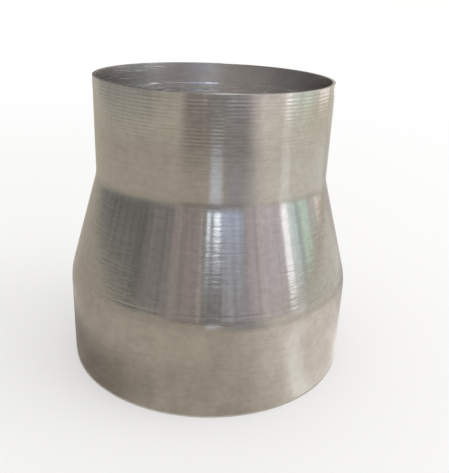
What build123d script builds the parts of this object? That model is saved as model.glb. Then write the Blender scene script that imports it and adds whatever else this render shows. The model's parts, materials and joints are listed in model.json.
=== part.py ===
from build123d import *
import os

# A concentric duct reducer, spun from one sheet: a plain collar at each end and a cone between.
# It stands on its large end. The origin is the centre of that rim, and +Z runs up the axis.
# Sizes are in millimetres.

# Collars and cone, on the outside of the wall
small_diameter = 100.0
large_diameter = 125.0
small_collar_length = 41.0
cone_length = 44.0
large_collar_length = 40.0

# Sheet and its bends
wall = 1.2
neck_bend_radius = 16.0  # hollow bend between the cone and the small collar
shoulder_bend_radius = 28.0  # crowned bend between the large collar and the cone
edge_break = 0.3  # sharpness taken off the trimmed rims

# Feed rings that the spinning roller leaves under the small rim
ring_pitch = 1.35  # feed for one turn of the lathe
ring_overlap = 0.15  # how far each turn's track runs into the next
ring_depth = 0.05
ring_count = 8
ring_land = 1.2  # smooth wall between the rim and the first ring

small_radius = small_diameter / 2
large_radius = large_diameter / 2
neck_height = large_collar_length + cone_length
total_height = neck_height + small_collar_length
rim_break = min(edge_break, 0.4 * wall)


def wall_section():
    """Half section of the sheet: its outside line, thickened towards the axis."""
    with BuildSketch(Plane.XZ) as section:
        with BuildLine():
            FilletPolyline(
                (large_radius, 0),
                (large_radius, large_collar_length),
                (small_radius, neck_height),
                (small_radius, total_height),
                radius=[shoulder_bend_radius, neck_bend_radius],
            )
            offset(amount=wall, side=Side.LEFT, closed=True)
        make_face()
        levels = section.vertices().group_by(Axis.Y)
        chamfer(levels[0] + levels[-1], length=rim_break)
        cut_feed_rings()
    return section.sketch


def cut_feed_rings():
    """Cuts the roller's track into the small collar as shallow notches, one turn below the other."""
    track_width = ring_pitch + ring_overlap
    first_turn = total_height - rim_break - ring_land - track_width / 2
    turns = [(small_radius, first_turn - turn * ring_pitch) for turn in range(ring_count)]
    with Locations(*turns):
        Polygon(
            (-ring_depth, 0),
            (ring_depth, track_width),
            (ring_depth, -track_width),
            align=None,
            mode=Mode.SUBTRACT,
        )


reducer = revolve(wall_section(), axis=Axis.Z)
reducer.label = "reducer"

os.makedirs("parts", exist_ok=True)
export_step(reducer, "parts/reducer.step")
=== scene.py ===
import json
import math

import bmesh
import bpy
from mathutils import Matrix, Vector


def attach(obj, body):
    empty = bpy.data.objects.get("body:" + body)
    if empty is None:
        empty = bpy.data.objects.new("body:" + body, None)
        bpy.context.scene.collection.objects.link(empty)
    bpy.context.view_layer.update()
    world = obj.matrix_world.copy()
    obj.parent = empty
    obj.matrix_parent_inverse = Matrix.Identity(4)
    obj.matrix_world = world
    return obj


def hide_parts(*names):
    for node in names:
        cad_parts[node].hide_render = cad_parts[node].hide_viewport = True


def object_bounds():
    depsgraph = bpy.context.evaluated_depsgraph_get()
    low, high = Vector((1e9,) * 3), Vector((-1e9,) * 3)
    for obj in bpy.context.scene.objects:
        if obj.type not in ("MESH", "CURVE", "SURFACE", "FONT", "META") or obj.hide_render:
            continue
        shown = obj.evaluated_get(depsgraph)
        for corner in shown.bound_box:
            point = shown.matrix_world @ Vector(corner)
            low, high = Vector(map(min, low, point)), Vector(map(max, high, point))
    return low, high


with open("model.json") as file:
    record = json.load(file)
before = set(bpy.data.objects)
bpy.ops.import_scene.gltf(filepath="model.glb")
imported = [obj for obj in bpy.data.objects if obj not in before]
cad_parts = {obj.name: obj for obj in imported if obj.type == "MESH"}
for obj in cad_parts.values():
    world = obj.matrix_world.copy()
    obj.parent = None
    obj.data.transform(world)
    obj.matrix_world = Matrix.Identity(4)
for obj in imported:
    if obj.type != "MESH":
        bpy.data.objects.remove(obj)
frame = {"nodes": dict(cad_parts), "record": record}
cadLow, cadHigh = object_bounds()
mounts = {mount["name"]: mount for mount in frame["record"]["mounts"]}
print("frame loaded, nodes:", sorted(frame["nodes"]))


# helpers for node trees

def feed(tree, socket, value):  # a link for a socket, a plain value for anything else
    if isinstance(value, bpy.types.NodeSocket):
        tree.links.new(value, socket)
    else:
        socket.default_value = value


def addNode(tree, kind, feeds=None, **settings):  # feeds are its inputs, by name or number
    node = tree.nodes.new(kind)
    for name, value in settings.items():
        setattr(node, name, value)
    for socket, value in (feeds or {}).items():
        feed(tree, node.inputs[socket], value)
    return node


def calc(tree, operation, *values):
    feeds = dict(enumerate(values))
    return addNode(tree, "ShaderNodeMath", feeds, operation=operation).outputs[0]


def calcVector(tree, operation, *values):
    feeds = dict(enumerate(values))
    return addNode(tree, "ShaderNodeVectorMath", feeds, operation=operation).outputs[0]


def scaled(tree, vector, factor):
    feeds = {0: vector, "Scale": factor}
    return addNode(tree, "ShaderNodeVectorMath", feeds, operation="SCALE").outputs[0]


def outwardFrom(tree, place):  # level direction from the axis to a place
    return calcVector(tree, "NORMALIZE", calcVector(tree, "MULTIPLY", place, (1, 1, 0)))


def parts(tree, vector):  # its X, Y and Z
    return addNode(tree, "ShaderNodeSeparateXYZ", {0: vector}).outputs


def objectPlace(tree):
    return addNode(tree, "ShaderNodeTexCoord").outputs["Object"]


def objectHeight(tree):
    return parts(tree, objectPlace(tree))["Z"]


def ramp(tree, value, start, stop, low=0.0, high=1.0):  # smoothly from low at start to high at stop
    feeds = {"Value": value, "From Min": start, "From Max": stop, "To Min": low, "To Max": high}
    node = addNode(tree, "ShaderNodeMapRange", feeds, interpolation_type="SMOOTHSTEP")
    return node.outputs["Result"]


def noise(tree, place, detail, rough=0.5, size=None, seed=None):
    feeds = {"Vector": place, "Scale": 1.0, "Detail": detail, "Roughness": rough}
    if size is not None:
        feeds["Scale"] = calc(tree, "DIVIDE", 1.0, size)
    if seed is not None:
        feeds["W"] = seed
    dimensions = "3D" if seed is None else "4D"
    return addNode(tree, "ShaderNodeTexNoise", feeds, noise_dimensions=dimensions).outputs["Fac"]


def centred(tree, value):  # turns 0 to 1 into -1 to 1
    return calc(tree, "MULTIPLY_ADD", value, 2.0, -1.0)


def newTree(name, kind, inputs, outputs):  # sockets by name and type
    tree = bpy.data.node_groups.new(name, kind)
    for way, sockets in (("INPUT", inputs), ("OUTPUT", outputs)):
        for socketName, socketType in sockets.items():
            tree.interface.new_socket(socketName, in_out=way, socket_type="NodeSocket" + socketType)
    return tree, addNode(tree, "NodeGroupInput").outputs, addNode(tree, "NodeGroupOutput").inputs


def valueName(socketName):  # the socket Line Spacing takes the value lineSpacing
    first, *others = socketName.split()
    return first.lower() + "".join(word.capitalize() for word in others)


def setInputs(inputs, values):
    for socket in inputs:
        if valueName(socket.name) in values:
            socket.default_value = values[valueName(socket.name)]


# camera, where the photo was taken from

cameraValues = {
    "away": 0.25593,      # from the axis, along -Y
    "height": 0.15604,
    "pan": 1.529,         # degrees, to the right
    "tilt": 21.957,       # degrees, down
    "roll": 2.349,        # degrees, anticlockwise
    "lens": 45.469,       # mm
    "sensor": 36,         # mm wide
    "clip": (0.01, 100),  # nearest and farthest that it shows
}


def makeCamera(values):
    pan, tilt, roll = (math.radians(values[name]) for name in ("pan", "tilt", "roll"))
    ahead = Vector((math.sin(pan) * math.cos(tilt), math.cos(pan) * math.cos(tilt),
                    -math.sin(tilt)))
    level = Vector((math.cos(pan), -math.sin(pan), 0))
    upright = level.cross(ahead)
    right = math.cos(roll) * level + math.sin(roll) * upright
    up = math.cos(roll) * upright - math.sin(roll) * level
    data = bpy.data.cameras.new("photoCamera")
    data.sensor_width = values["sensor"]
    data.lens = values["lens"]
    data.clip_start, data.clip_end = values["clip"]
    camera = bpy.data.objects.new("photoCamera", data)
    turn = Matrix((right, up, -ahead)).transposed()
    camera.matrix_world = Matrix.Translation((0, -values["away"], values["height"])) @ turn.to_4x4()
    bpy.context.scene.collection.objects.link(camera)
    bpy.context.scene.camera = camera


makeCamera(cameraValues)
print("camera placed")


# spun wall: section worked out from the frame, then turned round the axis

wallValues = {
    "shoulderBend": 0.028,   # outside radii of the two bends
    "neckBend": 0.016,
    "slopeRounds": 30,       # rounds that settle the cone's slope
    "ringPitch": 0.00135,    # feed rings under the small rim
    "ringDepth": 0.000011,   # shallower than the solid's, because they look faint
    "ringLand": 0.0012,      # smooth wall above them
    "ringsDeep": 8,          # full rings, as the solid has them
    "ringsFaint": 7,         # more that fade out below them
    # height and depth of the roller's lines on the cone
    "passMarks": {0.0446: 0.00002, 0.0564: 0.00001, 0.058: 0.00001, 0.0676: 0.00001,
                  0.0772: 0.00001},
    "passWidth": 0.0012,
    # height and depth of the tool's lines in the small bore, steep below and gentle above
    "boreMarks": {0.1129: 0.00012, 0.11605: 0.00015},
    "boreLedge": 0.0012,
    "boreRun": 0.008,
    "straightStep": 0.002,   # spacing of the section's points
    "markSteps": 4,          # points beside a line, in a ring, in a bend and in a rounded edge
    "ringSteps": 8,
    "bendSteps": 16,
    "edgeSteps": 5,
    "edgeRound": 0.00014,    # rims, rounded a little less than the solid's broken edges
    "edgeHold": 0.00015,     # keeps the wall flat up to the rounded edges
    "segments": 256,         # round the axis
    "outOfRound": 0.00008,   # how far the sheet wanders from a true circle
    "waveLength": 0.03,
    "seed": 7,
}
sideOf = {"Outside": 0, "Rims": 1, "Inside": 2}  # numbers that the section's points carry


def mountRadius(name):
    return mounts[name]["dims"]["r_mm"] / 1000


def mountSpan(name):
    middle = mounts[name]["pos_m"][2]
    half = mounts[name]["dims"]["length_mm"] / 1000 / 2
    return middle - half, middle + half


def steps(start, stop, count):
    return [start + (stop - start) * i / count for i in range(count + 1)]


def evenly(start, stop, values):
    return steps(start, stop, round((stop - start) / values["straightStep"]))


def markDepth(marks, below, above, z):  # how deep the lines are at a height
    depth = 0
    for middle, deepest in marks.items():
        far = (middle - z) / below if z < middle else (z - middle) / above
        if far < 1:
            depth += deepest * (0.5 + 0.5 * math.cos(math.pi * far))
    return depth


def markedHeights(marks, below, above, count, plain):  # even heights, closer across each line
    hold = below / count  # keeps the wall straight up to the line
    heights = [z for z in plain[:-1]
               if all(z < middle - below - 2 * hold or z > middle + above + hold
                      for middle in marks)]
    for middle in marks:
        heights += steps(middle - below - hold, middle, count + 1)
        heights += steps(middle, middle + above, count)[1:]
    return sorted(heights) + plain[-1:]


def coneSlope(values):  # the slope and the lengths of the bends depend on each other
    between = mountSpan("small_spigot")[0] - mountSpan("large_spigot")[1]
    narrowing = mountRadius("large_spigot") - mountRadius("small_spigot")
    slope = 0
    for _ in range(values["slopeRounds"]):
        rise = between - (values["shoulderBend"] + values["neckBend"]) * math.tan(slope / 2)
        slope = math.atan2(narrowing, rise)
    return slope


def coneLine(foot, top, slope, values):  # straight, with the roller's lines in it
    (footRadius, footHeight), (topRadius, topHeight) = foot, top
    marks, reach = values["passMarks"], values["passWidth"] / 2
    plain = evenly(footHeight, topHeight, values)[1:]
    line = []
    for z in markedHeights(marks, reach, reach, values["markSteps"], plain):
        share = (z - footHeight) / (topHeight - footHeight)
        radius = footRadius + (topRadius - footRadius) * share
        line.append((radius - markDepth(marks, reach, reach, z), z, slope))
    return line


def ringLine(radius, foot, top, count, values):  # feed rings, fainter towards their foot
    line = []
    for z in steps(foot, top, count * values["ringSteps"])[1:]:
        turn = (top - z) / values["ringPitch"]
        fade = min(1, max(0, (count - turn) / values["ringsFaint"]))
        groove = 0.5 - 0.5 * math.cos(2 * math.pi * turn)
        line.append((radius - values["ringDepth"] * fade * groove, z, 0))
    return line


def outsideLine(values):  # (radius, height, tilt of the outward normal), from the large rim up
    largeRadius, smallRadius = mountRadius("large_spigot"), mountRadius("small_spigot")
    shoulderStart, neckEnd = mountSpan("large_spigot")[1], mountSpan("small_spigot")[0]
    shoulderBend, neckBend = values["shoulderBend"], values["neckBend"]
    largeFoot, smallTop = values["edgeRound"], cadHigh.z - values["edgeRound"]
    slope = coneSlope(values)

    line = [(largeRadius, largeFoot, 0)]
    collarFoot = largeFoot + values["edgeHold"]
    line += [(largeRadius, z, 0) for z in evenly(collarFoot, shoulderStart, values)]
    for tilt in steps(0, slope, values["bendSteps"])[1:]:
        radius = largeRadius - shoulderBend * (1 - math.cos(tilt))
        line.append((radius, shoulderStart + shoulderBend * math.sin(tilt), tilt))
    coneTop = (smallRadius + neckBend * (1 - math.cos(slope)), neckEnd - neckBend * math.sin(slope))
    line += coneLine(line[-1][:2], coneTop, slope, values)
    for tilt in steps(slope, 0, values["bendSteps"])[1:]:
        radius = smallRadius + neckBend * (1 - math.cos(tilt))
        line.append((radius, neckEnd - neckBend * math.sin(tilt), tilt))

    ringTop = smallTop - values["ringLand"]
    ringCount = values["ringsDeep"] + values["ringsFaint"]
    ringFoot = ringTop - ringCount * values["ringPitch"]
    line += [(smallRadius, z, 0) for z in evenly(neckEnd, ringFoot, values)[1:]]
    line += ringLine(smallRadius, ringFoot, ringTop, ringCount, values)
    line += [(smallRadius, smallTop - values["edgeHold"], 0), (smallRadius, smallTop, 0)]
    return line


def insideLine(values):  # (radius, height), from the large rim up
    thickness = mountRadius("small_spigot") - mountRadius("small_bore")
    bore, collarFoot = mountRadius("small_bore"), mountSpan("small_bore")[0]
    collarTop = cadHigh.z - values["edgeRound"]
    line = [(radius - thickness * math.cos(tilt), z - thickness * math.sin(tilt))
            for radius, z, tilt in outsideLine({**values, "passMarks": {}})
            if tilt or z < collarFoot]
    marks, below, above = values["boreMarks"], values["boreLedge"], values["boreRun"]
    plain = evenly(collarFoot, collarTop - values["edgeHold"], values)
    for z in markedHeights(marks, below, above, values["markSteps"], plain):
        line.append((bore + markDepth(marks, below, above, z), z))
    line.append((bore, collarTop))
    return line


def roundedEdge(radius, height, start, values):  # a quarter of a circle, its first point left out
    edge = values["edgeRound"]
    turns = steps(start, start + math.pi / 2, values["edgeSteps"])[1:]
    return [(radius + edge * math.cos(turn), height + edge * math.sin(turn)) for turn in turns]


def wallSection(values):  # closed loop of (radius, height, side)
    edge, top = values["edgeRound"], cadHigh.z
    smallOuter, smallInner = mountRadius("small_spigot") - edge, mountRadius("small_bore") + edge
    largeOuter, largeInner = mountRadius("large_spigot") - edge, mountRadius("large_bore") + edge
    smallRim = roundedEdge(smallOuter, top - edge, 0, values) + [(smallInner, top)]
    smallRim += roundedEdge(smallInner, top - edge, math.pi / 2, values)[:-1]
    largeRim = roundedEdge(largeInner, edge, math.pi, values) + [(largeOuter, 0)]
    largeRim += roundedEdge(largeOuter, edge, math.pi * 1.5, values)[:-1]
    outside = [(radius, z) for radius, z, tilt in outsideLine(values)]
    inside = insideLine(values)[::-1]
    stretches = (("Outside", outside), ("Rims", smallRim), ("Inside", inside), ("Rims", largeRim))
    return [(radius, z, sideOf[side]) for side, line in stretches for radius, z in line]


def sectionObject(values):
    loop = wallSection(values)
    pathRadius = mountRadius("small_spigot")
    mesh = bpy.data.meshes.new("wallSection")
    edges = [(i, (i + 1) % len(loop)) for i in range(len(loop))]
    mesh.from_pydata([(radius - pathRadius, -z, 0) for radius, z, side in loop], edges, [])
    sides = mesh.attributes.new("side", "FLOAT", "POINT")
    sides.data.foreach_set("value", [side for radius, z, side in loop])
    section = bpy.data.objects.new("reducer_wall", mesh)
    bpy.context.scene.collection.objects.link(section)
    print("wall section:", len(loop), "points")
    return section


def turningTree():
    inputs = {"Section": "Geometry", "Path Radius": "Float", "Segments": "Int",
              "Out of Round": "Float", "Wave Length": "Float", "Seed": "Int",
              "Outside": "Material", "Inside": "Material", "Rims": "Material"}
    tree, given, result = newTree("turnSection", "GeometryNodeTree", inputs, {"Wall": "Geometry"})

    def store(geometry, name, value, kind, domain):
        feeds = {"Geometry": geometry, "Name": name, "Value": value}
        settings = {"data_type": kind, "domain": domain}
        node = addNode(tree, "GeometryNodeStoreNamedAttribute", feeds, **settings)
        return node.outputs["Geometry"]

    def read(name):
        node = addNode(tree, "GeometryNodeInputNamedAttribute", {"Name": name}, data_type="FLOAT")
        return node.outputs["Attribute"]

    def turnOf(position):
        x, y, z = parts(tree, position)
        return calc(tree, "ARCTAN2", y, x)

    # the section travels once round a circle
    section = addNode(tree, "GeometryNodeMeshToCurve", {"Mesh": given["Section"]}).outputs["Curve"]
    length = addNode(tree, "GeometryNodeSplineParameter").outputs["Length"]
    section = store(section, "along", length, "FLOAT", "POINT")
    feeds = {"Resolution": given["Segments"], "Radius": given["Path Radius"]}
    circle = addNode(tree, "GeometryNodeCurvePrimitiveCircle", feeds).outputs["Curve"]
    feeds = {"Curve": circle, "Profile Curve": section}
    turned = addNode(tree, "GeometryNodeCurveToMesh", feeds).outputs["Mesh"]
    wall = addNode(tree, "GeometryNodeFlipFaces", {"Mesh": turned}).outputs["Mesh"]

    # a little out of round, inwards only, the same on both sides of the sheet
    place = addNode(tree, "GeometryNodeInputPosition").outputs[0]
    outward = outwardFrom(tree, place)
    height = calcVector(tree, "MULTIPLY", place, (0, 0, 1))
    onCircle = calcVector(tree, "ADD", scaled(tree, outward, given["Path Radius"]), height)
    wander = noise(tree, onCircle, detail=1, size=given["Wave Length"], seed=given["Seed"])
    inward = calc(tree, "MULTIPLY", calc(tree, "MULTIPLY", wander, given["Out of Round"]), -1.0)
    feeds = {"Geometry": wall, "Offset": scaled(tree, outward, inward)}
    wall = addNode(tree, "GeometryNodeSetPosition", feeds).outputs["Geometry"]

    # a UV map that runs along the section, then round the axis, each face on one side of the seam
    settings = {"data_type": "FLOAT_VECTOR", "domain": "FACE"}
    faceTurn = turnOf(addNode(tree, "GeometryNodeFieldOnDomain", {0: place}, **settings).outputs[0])
    apart = calc(tree, "WRAP", calc(tree, "SUBTRACT", turnOf(place), faceTurn), math.pi, -math.pi)
    around = calc(tree, "MULTIPLY", calc(tree, "ADD", faceTurn, apart), given["Path Radius"])
    pair = addNode(tree, "ShaderNodeCombineXYZ", {"X": read("along"), "Y": around}).outputs[0]
    wall = store(wall, "wallMap", pair, "FLOAT2", "CORNER")

    wall = addNode(tree, "GeometryNodeSetShadeSmooth", {"Geometry": wall}).outputs["Geometry"]
    wall = addNode(tree, "GeometryNodeRealizeInstances", {"Geometry": wall}).outputs["Geometry"]
    side = read("side")
    touchesRim, whollyInside = 0.25, 1.75  # a face between a rim and a side counts as rim
    chosen = {"Outside": True, "Rims": calc(tree, "GREATER_THAN", side, touchesRim),
              "Inside": calc(tree, "GREATER_THAN", side, whollyInside)}
    for name, faces in chosen.items():
        feeds = {"Geometry": wall, "Selection": faces, "Material": given[name]}
        wall = addNode(tree, "GeometryNodeSetMaterial", feeds).outputs["Geometry"]
    feed(tree, result["Wall"], wall)
    return tree


def turnWall(values, finishes):
    section = sectionObject(values)
    tree = turningTree()
    modifier = section.modifiers.new("turn", "NODES")
    modifier.node_group = tree
    settings = {**values, **finishes, "pathRadius": mountRadius("small_spigot")}
    for socket in tree.interface.items_tree:
        if valueName(socket.name) in settings:
            modifier[socket.identifier] = settings[valueName(socket.name)]
    graph = bpy.context.evaluated_depsgraph_get()
    mesh = bpy.data.meshes.new_from_object(section.evaluated_get(graph), depsgraph=graph)
    section.modifiers.clear()
    plain = section.data
    section.data = mesh
    bpy.data.meshes.remove(plain)
    mesh.name = "reducer_wall"
    solid = bmesh.new()
    solid.from_mesh(mesh)
    volume = solid.calc_volume(signed=True) * 1e6
    solid.free()
    print("wall turned:", len(mesh.polygons), "faces,", round(volume, 2), "cm3")
    return section


# finishes: fine lines from spinning, blotches from handling

spunValues = {
    "lineSpacing": 0.0014,     # lines round the axis, the broadest of them crest to crest
    "lineRun": 6.0,            # how quickly a line changes on its way round
    "bandSpacing": 0.009,      # broader bands of the roller's passes
    "scratchSpacing": 0.0012,  # sparse bright and dark lines
    "scratchRun": 5.0,
    "blotchSize": 0.022,       # dull patches from handling
    "mottleSize": 0.0026,      # small light and dark patches
    "seed": 3,
    # how far each mark takes the colour from dark to light, counted from the start
    "shades": {"Bands": 0.4, "Blotches": 0.3, "Mottling": 1.1, "Scratches": 0.2},
    "shadeStart": -0.4,
    # noise behind each mark, its seed counted on from the one above
    "noises": {
        "Lines": {"detail": 3, "rough": 0.65, "seed": 0},
        "Bands": {"detail": 3, "rough": 0.5, "seed": 11},
        "Scratches": {"detail": 1, "rough": 0.5, "seed": 37},
        "Blotches": {"detail": 4, "rough": 0.5, "seed": 23},
        "Mottling": {"detail": 3, "rough": 0.5, "seed": 41},
    },
    "scratchBright": (0.58, 0.72),  # the noise's peaks are bright scratches, its dips dark ones
    "scratchDark": (0.42, 0.28),
}
outsideValues = {
    "light": (0.59, 0.56, 0.505),
    "dark": (0.45, 0.42, 0.37),
    "roughness": 0.12,
    "blotchRough": 0.03,       # rougher in the dull patches
    "anisotropy": 0.7,
    "lineDepth": 0.00006,
    "collarLines": 0.5,        # share of that depth on the small collar
    "collarRough": 0.025,      # rougher there
    "neckRough": 0.06,         # rougher in the neck, which the roller can't burnish
    "neckReach": 0.005,        # how far from the middle of that bend
    "neckDrop": 0.0016,        # that middle, below the straight collar
    "collarLift": 0.12,        # painted light: brighter on the small collar
    "ringLift": 0.22,          # and more where the feed rings are, painted light as well
    "ringFoot": 0.017,         # depth of that zone below the small rim
    "ringFade": 0.014,
}
insideValues = {
    "light": (0.665, 0.64, 0.615),
    "dark": (0.545, 0.52, 0.495),
    "roughness": 0.33,
    "blotchRough": 0.06,
    "anisotropy": 0.6,
    "lineDepth": 0.0001,
    "scratchDepth": 0.00005,   # the inside is scored along the lines
    "markRough": -0.23,        # smoother in the tool's lines
    "markReach": 0.00036,      # how far from the middle of their steep sides
    "markFade": 0.0003,
}
rimValues = {
    "light": (0.58, 0.56, 0.52),
    "dark": (0.46, 0.44, 0.40),
    "roughness": 0.24,
    "blotchRough": 0.08,
    "anisotropy": 0.0,
    "lineDepth": 0.00002,
}


def spinMarksGroup():
    inputs = ("Line Spacing", "Line Run", "Band Spacing", "Scratch Spacing", "Scratch Run",
              "Blotch Size", "Mottle Size", "Seed")
    outputs = ("Lines", "Bands", "Scratches", "Blotches", "Mottling")
    group, given, result = newTree("spinMarks", "ShaderNodeTree", dict.fromkeys(inputs, "Float"),
                                   dict.fromkeys(outputs, "Float"))
    place = objectPlace(group)
    outward = outwardFrom(group, place)
    height = parts(group, place)["Z"]

    def markNoise(name, at, size=None):
        values = spunValues["noises"][name]
        seed = calc(group, "ADD", given["Seed"], values["seed"])
        return noise(group, at, values["detail"], values["rough"], size, seed)

    def roundNoise(name, spacing, run):  # changes fast up the axis, slowly round it
        lineHeight = calc(group, "DIVIDE", height, given[spacing])
        up = addNode(group, "ShaderNodeCombineXYZ", {"Z": lineHeight}).outputs[0]
        around = scaled(group, outward, given[run])
        return markNoise(name, calcVector(group, "ADD", around, up))

    feed(group, result["Lines"], roundNoise("Lines", "Line Spacing", "Line Run"))
    feed(group, result["Bands"], roundNoise("Bands", "Band Spacing", "Line Run"))
    sparse = roundNoise("Scratches", "Scratch Spacing", "Scratch Run")
    bright = ramp(group, sparse, *spunValues["scratchBright"])
    dark = ramp(group, sparse, *spunValues["scratchDark"])
    feed(group, result["Scratches"], calc(group, "SUBTRACT", bright, dark))
    feed(group, result["Blotches"], markNoise("Blotches", place, given["Blotch Size"]))
    feed(group, result["Mottling"], markNoise("Mottling", place, given["Mottle Size"]))
    return group


def above(tree, height, level, fade):  # 0 below a level, 1 above it
    return ramp(tree, height, level - fade / 2, level + fade / 2)


def near(tree, height, level, reach, fade):  # 1 within reach of a level, 0 further off
    apart = calc(tree, "ABSOLUTE", calc(tree, "SUBTRACT", height, level))
    return ramp(tree, apart, reach + fade / 2, reach - fade / 2)


def spunMetal(name, values, spinMarks):
    material = bpy.data.materials.new(name)
    material.use_nodes = True
    tree = material.node_tree
    shader = tree.nodes["Principled BSDF"]
    shader.inputs["Metallic"].default_value = 1
    shader.inputs["Anisotropic"].default_value = values["anisotropy"]
    spun = addNode(tree, "ShaderNodeGroup", node_tree=spinMarks)
    setInputs(spun.inputs, spunValues)
    marks = spun.outputs

    shade = spunValues["shadeStart"]
    for mark, share in spunValues["shades"].items():
        shade = calc(tree, "MULTIPLY_ADD", marks[mark], share, shade)
    tint = addNode(tree, "ShaderNodeMix", data_type="RGBA")
    feed(tree, tint.inputs["Factor"], shade)
    feed(tree, tint.inputs["A"], (*values["dark"], 1))
    feed(tree, tint.inputs["B"], (*values["light"], 1))
    colour = tint.outputs["Result"]
    dull = centred(tree, marks["Blotches"])
    rough = calc(tree, "MULTIPLY_ADD", dull, values["blotchRough"], values["roughness"])
    lines = marks["Lines"]

    if "markRough" in values:  # the inside is burnished where the tool's lines are steep
        height = objectHeight(tree)
        for middle in wallValues["boreMarks"]:
            steep = middle - wallValues["boreLedge"] / 2
            inMark = near(tree, height, steep, values["markReach"], values["markFade"])
            rough = calc(tree, "MULTIPLY_ADD", inMark, values["markRough"], rough)
    if "neckReach" in values:  # the outside differs by height, with painted light brightening the small collar and more its feed rings
        height = objectHeight(tree)
        neck, reach = mountSpan("small_spigot")[0] - values["neckDrop"], values["neckReach"]
        onCollar = above(tree, height, neck, reach)
        onRings = above(tree, height, cadHigh.z - values["ringFoot"], values["ringFade"])
        inNeck = near(tree, height, neck, reach / 2, reach)
        collarLift = calc(tree, "MULTIPLY_ADD", onCollar, values["collarLift"], 1.0)
        ringLift = calc(tree, "MULTIPLY_ADD", onRings, values["ringLift"], 1.0)
        colour = scaled(tree, colour, calc(tree, "MULTIPLY", collarLift, ringLift))
        rough = calc(tree, "MULTIPLY_ADD", onCollar, values["collarRough"], rough)
        rough = calc(tree, "MULTIPLY_ADD", inNeck, values["neckRough"], rough)
        less = calc(tree, "MULTIPLY_ADD", onCollar, values["collarLines"] - 1, 1.0)
        lines = calc(tree, "MULTIPLY", lines, less)
    feed(tree, shader.inputs["Base Color"], colour)
    feed(tree, shader.inputs["Roughness"], rough)

    scored = values.get("scratchDepth", 0) / values["lineDepth"]
    relief = calc(tree, "MULTIPLY_ADD", marks["Scratches"], scored, lines)
    bump = addNode(tree, "ShaderNodeBump", {"Distance": values["lineDepth"], "Height": relief})
    feed(tree, shader.inputs["Normal"], bump.outputs[0])
    if values["anisotropy"]:
        tangent = addNode(tree, "ShaderNodeTangent", direction_type="UV_MAP", uv_map="wallMap")
        feed(tree, shader.inputs["Tangent"], tangent.outputs[0])
    return material


spinMarks = spinMarksGroup()
finishes = {
    "outside": spunMetal("spunOutside", outsideValues, spinMarks),
    "inside": spunMetal("spunInside", insideValues, spinMarks),
    "rims": spunMetal("cutRim", rimValues, spinMarks),
}
print("finishes made:", ", ".join(finishes))

wall = turnWall(wallValues, finishes)
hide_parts("reducer")
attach(wall, "root")


# studio: pale floor, pale sky, a soft lamp from the right, and cards that only the metal sees

studioValues = {
    "floorColour": (0.95, 0.945, 0.935),
    "floorRough": 0.8,
    "floorShine": 0.1,
    "floorSize": 60,
    "whiteNear": 0.35,       # share of plain white in the floor at the reducer, and far from it
    "whiteFar": 1.0,
    "whiteReach": (0.12, 0.8),
    "skyColour": (1.0, 0.995, 0.985),
    "skyStrength": 0.88,
    "lampTurn": 80,          # degrees from the camera, to the right
    "lampRise": 38,          # degrees above the floor
    "lampAway": 1.5,
    "lampSize": 1.1,
    "lampPower": 5,
    "cardsAway": 0.86,       # standing cards, from the axis
    "cardGap": 0.002,        # each later card stands in front of the one before, or lies on it
    "matGap": 0.00003,
    "matClear": 0.0005,      # lying cards start just outside the large collar, some still closer
    "nearClear": 0.0002,
    "cardStep": 3,           # degrees to a face
    "streakWidth": 2.0,      # degrees, for the streaks up the standing cards
    "streakLength": 0.4,
    "mottleSize": 0.02,      # patches on the lying cards
    "grainDetail": 3,
    "grainRough": 0.6,
}
# A card spans turns, in degrees from the camera to the right, and a reach, in metres up a standing
# card or out along a lying one. Glow and tint are its brightness and colour. Side, foot and head
# are how far its edges fade, swing is how far the outer end of a lying card is turned, and grain
# is how uneven the card is.
standingBase = {"reach": (0, 0.7), "side": 3, "foot": 0.01, "head": 0.03, "swing": 0,
                "lying": False, "grain": 0.8, "tint": (1, 1, 1)}
lyingBase = {**standingBase, "lying": True, "grain": 0.3}
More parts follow.
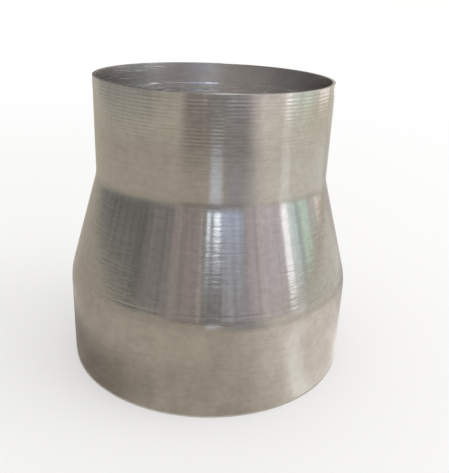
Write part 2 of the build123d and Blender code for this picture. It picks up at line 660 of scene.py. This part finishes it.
# from the back round the left to the front, then to the right: the cone shows these
standingCards = {
    "surround": {"turns": (-200, 200), "reach": (0, 2.4), "glow": 0.22},
    "backLeft": {"turns": (-188, -115), "glow": 0.46, "side": 12, "tint": (1.1, 1, 0.95)},
    "leftDark": {"turns": (-130, -44), "reach": (0, 2.4), "glow": 0.22, "side": 14, "foot": 0.12,
                 "tint": (1, 1, 1.03)},
    "leftFoot": {"turns": (-135, -60), "reach": (0, 0.15), "glow": 0.3, "side": 12, "foot": 0.001,
                 "head": 0.15},
    "leftGrey": {"turns": (-58, -26), "reach": (0, 2.4), "glow": 0.31, "side": 8,
                 "tint": (1.05, 1, 1.06)},
    "frontBrown": {"turns": (-33, -2), "glow": 0.37, "tint": (1.13, 1, 1.02)},
    "brownLine": {"turns": (-26.2, -23.8), "glow": 0.52, "side": 1},
    "slimLine": {"turns": (-8, -6), "glow": 0.67, "side": 0.9},
    "frontBlue": {"turns": (6, 33), "glow": 0.5, "tint": (0.98, 1, 1.12)},
    "blueLight": {"turns": (7, 31), "reach": (0.15, 0.7), "glow": 0.75, "foot": 0.06,
                  "tint": (0.86, 1, 1.35)},
    "frontDark": {"turns": (-6, 12), "reach": (0, 0.2), "glow": 0.29, "head": 0.04},
    "frontMid": {"turns": (-5, 11), "reach": (0.1, 0.24), "glow": 0.45, "foot": 0.05,
                 "tint": (0.97, 1, 1.2)},
    "windowLeft": {"turns": (-3, 1), "reach": (0.19, 0.7), "glow": 1.8, "side": 0.8, "foot": 0.02,
                   "tint": (0.87, 1, 1.18)},
    "windowRight": {"turns": (2.6, 9.2), "reach": (0.19, 0.7), "glow": 2.1, "side": 0.8,
                    "foot": 0.02, "tint": (0.89, 1, 1.19)},
    "frontGrey": {"turns": (28, 45), "glow": 0.56, "tint": (1.08, 1, 1.12)},
    "rightRose": {"turns": (39, 72), "glow": 0.71, "tint": (1.05, 1, 1.1)},
    "roseLine": {"turns": (42, 44), "glow": 1.0, "side": 0.9},
    "rightPale": {"turns": (68, 86), "glow": 1.03, "tint": (0.87, 1, 1.06)},
    "rightStrip": {"turns": (65, 73), "reach": (0.005, 0.7), "glow": 1.7, "side": 1.2,
                   "foot": 0.025, "grain": 0.15, "tint": (0.98, 1, 1.1)},
    "rightGap": {"turns": (80, 90), "glow": 0.76, "tint": (0.82, 1, 1.04)},
    "rightGreen": {"turns": (85, 101), "glow": 1.03, "tint": (0.8, 1, 0.93)},
    "rightGrey": {"turns": (97, 116), "glow": 0.8, "tint": (0.98, 1, 1)},
    "rightPeach": {"turns": (108, 134), "glow": 1.12, "side": 5, "tint": (1.1, 1, 1)},
    "backRight": {"turns": (128, 190), "glow": 0.6, "side": 6, "tint": (1.1, 1, 0.9)},
    "backStrip": {"turns": (150, 158), "glow": 1.4, "side": 1.2},
    "backDark": {"turns": (177, 206), "glow": 0.2, "side": 4},
    "backWindow": {"turns": (176.5, 179.7), "glow": 2.4, "side": 0.7},
}
matStart = mountRadius("large_spigot") + studioValues["matClear"]
nearStart = mountRadius("large_spigot") + studioValues["nearClear"]
# Lying cards paint the floor as the metal sees it: a warm tint that is the floor's own, and its
# light and shade as painted shadow, painted pools of light and painted sheen.
lyingCards = {
    # far out, painted light and shade of the floor: the small collar shows these
    "baseMat": {"turns": (-200, 200), "reach": (matStart, 0.9), "glow": 0.45, "foot": 0.001,
                "head": 0.01, "tint": (1.05, 1, 0.9)},
    "leftBackMat": {"turns": (-195, -122), "reach": (matStart, 0.9), "glow": 0.45, "side": 16,
                    "foot": 0.001, "tint": (1.06, 1, 0.8)},
    "leftMat": {"turns": (-145, 60), "reach": (matStart, 0.56), "glow": 0.47, "side": 18,
                "foot": 0.001, "head": 0.04, "tint": (1.1, 1, 0.9)},
    "leftFarMat": {"turns": (-160, -12), "reach": (0.47, 0.9), "glow": 0.45, "side": 22,
                   "foot": 0.06, "tint": (1.02, 1, 0.86)},
    "leftEdgeMat": {"turns": (-124, -46), "reach": (0.56, 0.9), "glow": 0.33, "side": 18,
                    "foot": 0.2},
    "frontFarMat": {"turns": (-33, 52), "reach": (0.38, 0.9), "glow": 0.115, "side": 14,
                    "foot": 0.2, "tint": (1.05, 1, 1)},
    "frontMidMat": {"turns": (6, 50), "reach": (0.16, 0.5), "glow": 0.42, "side": 12, "foot": 0.05,
                    "head": 0.06, "tint": (1.03, 1, 1.08)},
    # a painted pool of light on the floor in front
    "frontPool": {"turns": (-3, 11), "reach": (0.22, 0.49), "glow": 0.88, "side": 4, "foot": 0.08,
                  "head": 0.1, "tint": (0.91, 1, 1.16)},
    "rightMat": {"turns": (26, 180), "reach": (0.14, 0.9), "glow": 0.78, "side": 26, "foot": 0.06,
                 "head": 0.01, "tint": (1.02, 1, 0.96)},
    "rightFarMat": {"turns": (28, 180), "reach": (0.46, 0.9), "glow": 0.53, "side": 28,
                    "foot": 0.14, "head": 0.01, "tint": (1.05, 1, 0.86)},
    "rightBackMat": {"turns": (124, 195), "reach": (matStart, 0.9), "glow": 0.57, "side": 16,
                     "foot": 0.001, "tint": (1.04, 1, 0.93)},
    # painted sheen: the floor's reflection of the strip on the right
    "rightSheen": {"turns": (62, 75), "reach": (0.25, 0.5), "glow": 0.99, "foot": 0.04,
                   "head": 0.05},
    # close to the wall, painted light and shade of the floor: the large collar shows these, a
    # painted contact shadow on the left, painted light and a painted sheen on the right
    "leftShade": {"turns": (-135, -14), "reach": (nearStart, 0.1), "glow": 0.25, "side": 36,
                  "foot": 0.0005, "tint": (1.13, 1, 0.9)},
    "nearLeft": {"turns": (-80, 24), "reach": (0.088, 0.21), "glow": 0.54, "side": 24, "foot": 0.02,
                 "head": 0.08, "tint": (1.1, 1, 0.9)},
    "nearRight": {"turns": (4, 130), "reach": (nearStart, 0.18), "glow": 0.9, "side": 50,
                  "foot": 0.0005, "tint": (1.08, 1, 0.96)},
    "nearSheen": {"turns": (33, 54), "reach": (nearStart, 0.13), "glow": 1.15, "side": 10,
                  "foot": 0.0005, "head": 0.02, "swing": 18},
    # inside the large mouth, a painted pool of light on the floor under the bore: the bore shows
    # these
    "innerPool": {"turns": (-200, 200), "reach": (0.004, 0.056), "glow": 0.8, "foot": 0.0005,
                  "head": 0.01},
    "innerSpot": {"turns": (-200, 200), "reach": (0.001, 0.014), "glow": 3.5, "foot": 0.0005,
                  "head": 0.004},
}


def addToStage(name, mesh, material):
    board = bpy.data.objects.new(name, mesh)
    mesh.materials.append(material)
    bpy.context.scene.collection.objects.link(board)
    return board


def seenRay(tree):  # 1 for rays that show the background, to the camera or in the metal
    path = addNode(tree, "ShaderNodeLightPath").outputs
    shown = calc(tree, "MAXIMUM", path["Is Camera Ray"], path["Is Glossy Ray"])
    return calc(tree, "MAXIMUM", shown, path["Is Transmission Ray"])


def makeFloor(values):
    half = values["floorSize"] / 2
    mesh = bpy.data.meshes.new("floor")
    corners = [(-half, -half, 0), (half, -half, 0), (half, half, 0), (-half, half, 0)]
    mesh.from_pydata(corners, [], [(0, 1, 2, 3)])
    material = bpy.data.materials.new("paleFloor")
    material.use_nodes = True
    tree = material.node_tree
    shader = tree.nodes["Principled BSDF"]
    shader.inputs["Base Color"].default_value = (*values["floorColour"], 1)
    shader.inputs["Roughness"].default_value = values["floorRough"]
    shader.inputs["Specular IOR Level"].default_value = values["floorShine"]
    length = addNode(tree, "ShaderNodeVectorMath", {0: objectPlace(tree)}, operation="LENGTH")
    away = length.outputs["Value"]
    share = ramp(tree, away, *values["whiteReach"], values["whiteNear"], values["whiteFar"])
    share = calc(tree, "MULTIPLY", share, seenRay(tree))
    white = addNode(tree, "ShaderNodeEmission")
    feeds = {0: share, 1: shader.outputs[0], 2: white.outputs[0]}
    mix = addNode(tree, "ShaderNodeMixShader", feeds)
    feed(tree, tree.nodes["Material Output"].inputs["Surface"], mix.outputs[0])
    addToStage("floor", mesh, material)


def cardShapeGroup():  # Mask is 1 in the middle of a card and 0 at its edges, Unevenness is about 1
    inputs = ("Turn", "Half Width", "Swing", "Low", "High", "Side", "Foot", "Head", "Lying",
              "Grain", "Streak Width", "Streak Length", "Mottle Size")
    group, given, result = newTree("cardShape", "ShaderNodeTree", dict.fromkeys(inputs, "Float"),
                                   {"Mask": "Float", "Unevenness": "Float"})
    place = objectPlace(group)
    x, y, z = parts(group, place)
    outward = calc(group, "SQRT", calc(group, "MULTIPLY_ADD", x, x, calc(group, "MULTIPLY", y, y)))
    reach = calc(group, "MULTIPLY_ADD", calc(group, "SUBTRACT", outward, z), given["Lying"], z)
    fromLow = calc(group, "SUBTRACT", reach, given["Low"])
    share = calc(group, "DIVIDE", fromLow, calc(group, "SUBTRACT", given["High"], given["Low"]))
    middle = calc(group, "MULTIPLY_ADD", given["Swing"], share, given["Turn"])
    turn = calc(group, "DEGREES", calc(group, "ARCTAN2", x, calc(group, "MULTIPLY", y, -1.0)))
    offMiddle = calc(group, "WRAP", calc(group, "SUBTRACT", turn, middle), 180.0, -180.0)
    apart = calc(group, "ABSOLUTE", offMiddle)
    edges = {"Side": calc(group, "SUBTRACT", given["Half Width"], apart), "Foot": fromLow,
             "Head": calc(group, "SUBTRACT", given["High"], reach)}
    mask = 1.0
    for fade, inwards in edges.items():
        mask = calc(group, "MULTIPLY", ramp(group, inwards, 0.0, given[fade]), mask)
    feed(group, result["Mask"], mask)

    # streaks that run up a standing card, mottling on a lying one
    feeds = {"X": calc(group, "DIVIDE", turn, given["Streak Width"]),
             "Y": calc(group, "DIVIDE", reach, given["Streak Length"])}
    upright = addNode(group, "ShaderNodeCombineXYZ", feeds).outputs[0]
    detail, rough = studioValues["grainDetail"], studioValues["grainRough"]
    streaks = noise(group, upright, detail, rough)
    mottling = noise(group, place, detail, rough, given["Mottle Size"])
    change = calc(group, "SUBTRACT", mottling, streaks)
    grain = calc(group, "MULTIPLY_ADD", change, given["Lying"], streaks)
    uneven = calc(group, "MULTIPLY_ADD", centred(group, grain), given["Grain"], 1.0)
    feed(group, result["Unevenness"], uneven)
    return group


def cardMesh(name, card, layer):
    first = card["turns"][0] + min(0, card["swing"])
    last = card["turns"][1] + max(0, card["swing"])
    count = max(1, round((last - first) / studioValues["cardStep"]))
    standing = studioValues["cardsAway"] - studioValues["cardGap"] * layer
    lift = studioValues["matGap"] * (layer + 1)
    corners = []
    for turn in steps(math.radians(first), math.radians(last), count):
        for reach in card["reach"]:
            away, up = (reach, lift) if card["lying"] else (standing, reach)
            corners.append((math.sin(turn) * away, -math.cos(turn) * away, up))
    faces = [(2 * i, 2 * i + 2, 2 * i + 3, 2 * i + 1) for i in range(count)]
    mesh = bpy.data.meshes.new(name)
    mesh.from_pydata(corners, [], faces)
    return mesh


def makeCard(name, card, cardShape, layer):
    material = bpy.data.materials.new(name)
    material.use_nodes = True
    tree = material.node_tree
    (start, stop), (low, high) = card["turns"], card["reach"]
    shape = addNode(tree, "ShaderNodeGroup", node_tree=cardShape)
    span = {"turn": (start + stop) / 2, "halfWidth": (stop - start) / 2, "low": low, "high": high}
    setInputs(shape.inputs, {**studioValues, **card, **span})
    shader = tree.nodes["Principled BSDF"]
    shader.inputs["Base Color"].default_value = (0, 0, 0, 1)  # a card only glows
    shader.inputs["Specular IOR Level"].default_value = 0
    shader.inputs["Emission Strength"].default_value = card["glow"]
    colour = scaled(tree, card["tint"], shape.outputs["Unevenness"])
    feed(tree, shader.inputs["Emission Color"], colour)
    feed(tree, shader.inputs["Alpha"], shape.outputs["Mask"])
    board = addToStage(name, cardMesh(name, card, layer), material)
    board.visible_camera = False
    board.visible_diffuse = False
    board.visible_shadow = False


def makeLamp(values):
    data = bpy.data.lights.new("softLamp", "AREA")
    data.size = values["lampSize"]
    data.energy = values["lampPower"]
    lamp = bpy.data.objects.new("softLamp", data)
    turn, rise = math.radians(values["lampTurn"]), math.radians(values["lampRise"])
    level, up = values["lampAway"] * math.cos(rise), values["lampAway"] * math.sin(rise)
    lamp.location = (math.sin(turn) * level, -math.cos(turn) * level, up)
    lamp.rotation_euler = Vector(lamp.location).to_track_quat("Z", "Y").to_euler()
    bpy.context.scene.collection.objects.link(lamp)


def makeSky(values):
    world = bpy.data.worlds.new("paleSky")
    world.use_nodes = True
    tree = world.node_tree
    sky = tree.nodes["Background"]
    sky.inputs["Color"].default_value = (*values["skyColour"], 1)
    plain = calc(tree, "MULTIPLY", seenRay(tree), 1.0 - values["skyStrength"])
    feed(tree, sky.inputs["Strength"], calc(tree, "ADD", plain, values["skyStrength"]))
    bpy.context.scene.world = world


makeFloor(studioValues)
makeLamp(studioValues)
makeSky(studioValues)
cardShape = cardShapeGroup()
for base, cards in ((standingBase, standingCards), (lyingBase, lyingCards)):
    for layer, (cardName, card) in enumerate(cards.items()):
        makeCard(cardName, {**base, **card}, cardShape, layer)
bpy.context.scene.view_settings.view_transform = "Standard"
print("studio made:", len(standingCards), "standing cards,", len(lyingCards), "lying ones")
